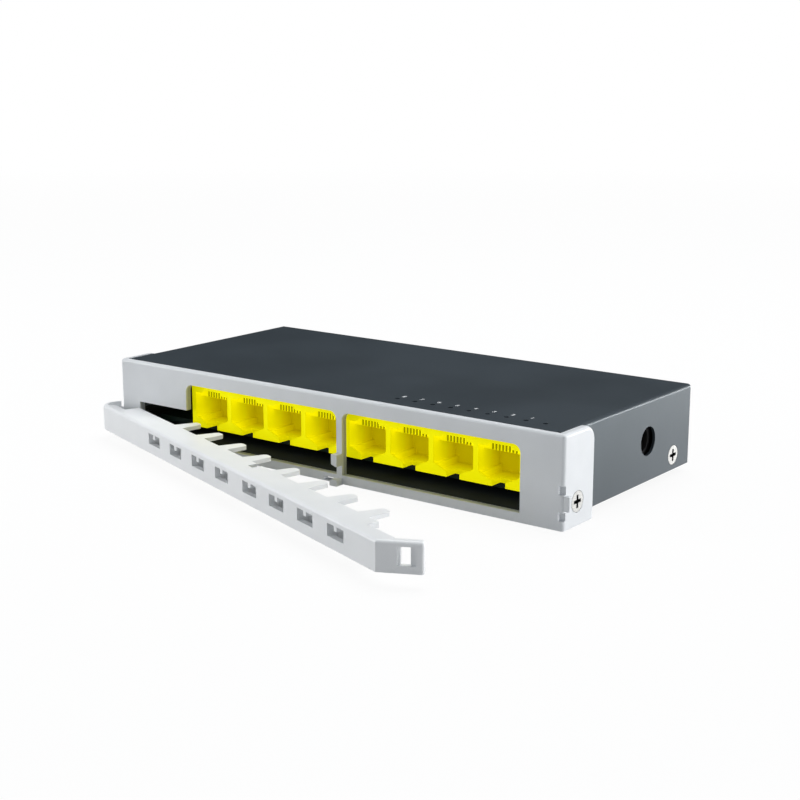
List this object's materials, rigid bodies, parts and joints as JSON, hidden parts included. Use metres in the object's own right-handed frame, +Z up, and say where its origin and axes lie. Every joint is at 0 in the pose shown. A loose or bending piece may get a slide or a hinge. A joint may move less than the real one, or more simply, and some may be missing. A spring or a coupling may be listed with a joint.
{
  "type": "ethernet switch",
  "caption": "Small desktop network switch with a row of yellow ports behind a pale bezel and a hinged comb bar that closes over the plugs.",
  "frame": {"origin": "centre of the bounding box at the level of the feet, with the bar at its rest pose", "axes": "+X to the right along the row of ports, +Y to the back, +Z up"},
  "size_m": [0.161, 0.1274, 0.0246],
  "materials": {
    "cover_paint": "fine satin powder coat, warm dark grey",
    "bare_steel": "plated sheet steel",
    "bezel_plastic": "fine moulded texture, pale grey",
    "bar_plastic": "fine moulded texture, off-white",
    "screw_steel": "nickel plated",
    "port_plastic": "smooth moulded yellow",
    "contact_metal": "gold flashed spring strip",
    "board_laminate": "green solder mask",
    "chip_plastic": "black moulding compound",
    "capacitor_sleeve": "shrink sleeve",
    "lamp_resin": "clear resin lamps",
    "guide_clear": "clear moulded light guide",
    "socket_plastic": "black moulded socket",
    "foot_rubber": "matt rubber"
  },
  "bodies": {
    "case": {"top_cover": "cover_paint", "base_tray": "bare_steel", "front_bezel": "bezel_plastic", "bezel_screws": "screw_steel", "case_screws": "screw_steel", "jack_block_left": "port_plastic", "jack_block_right": "port_plastic", "contacts_left": "contact_metal", "contacts_right": "contact_metal", "hinge_pin": "screw_steel", "circuit_board": "board_laminate", "board_posts": "screw_steel", "board_screws": "screw_steel", "switch_chip": "chip_plastic", "regulator_chip": "chip_plastic", "crystal": "screw_steel", "inductor": "chip_plastic", "capacitor_1": "capacitor_sleeve", "capacitor_2": "capacitor_sleeve", "status_leds": "lamp_resin", "light_guide": "guide_clear", "dc_socket": "socket_plastic", "dc_pin": "contact_metal", "dc_spring": "contact_metal", "magnetics_1": "chip_plastic", "magnetics_2": "chip_plastic", "magnetics_3": "chip_plastic", "magnetics_4": "chip_plastic", "foot_front_left": "foot_rubber", "foot_front_right": "foot_rubber", "foot_rear_left": "foot_rubber", "foot_rear_right": "foot_rubber"},
    "bar": {"lock_bar": "bar_plastic"}
  },
  "joints": [
    {"name": "bar_hinge", "type": "hinge", "parent": "case", "child": "bar", "pos_m": [-0.07747, -0.00642, 0.0063], "axis": [0, 0, 1], "range_deg": [-70, 19.7]}
  ]
}
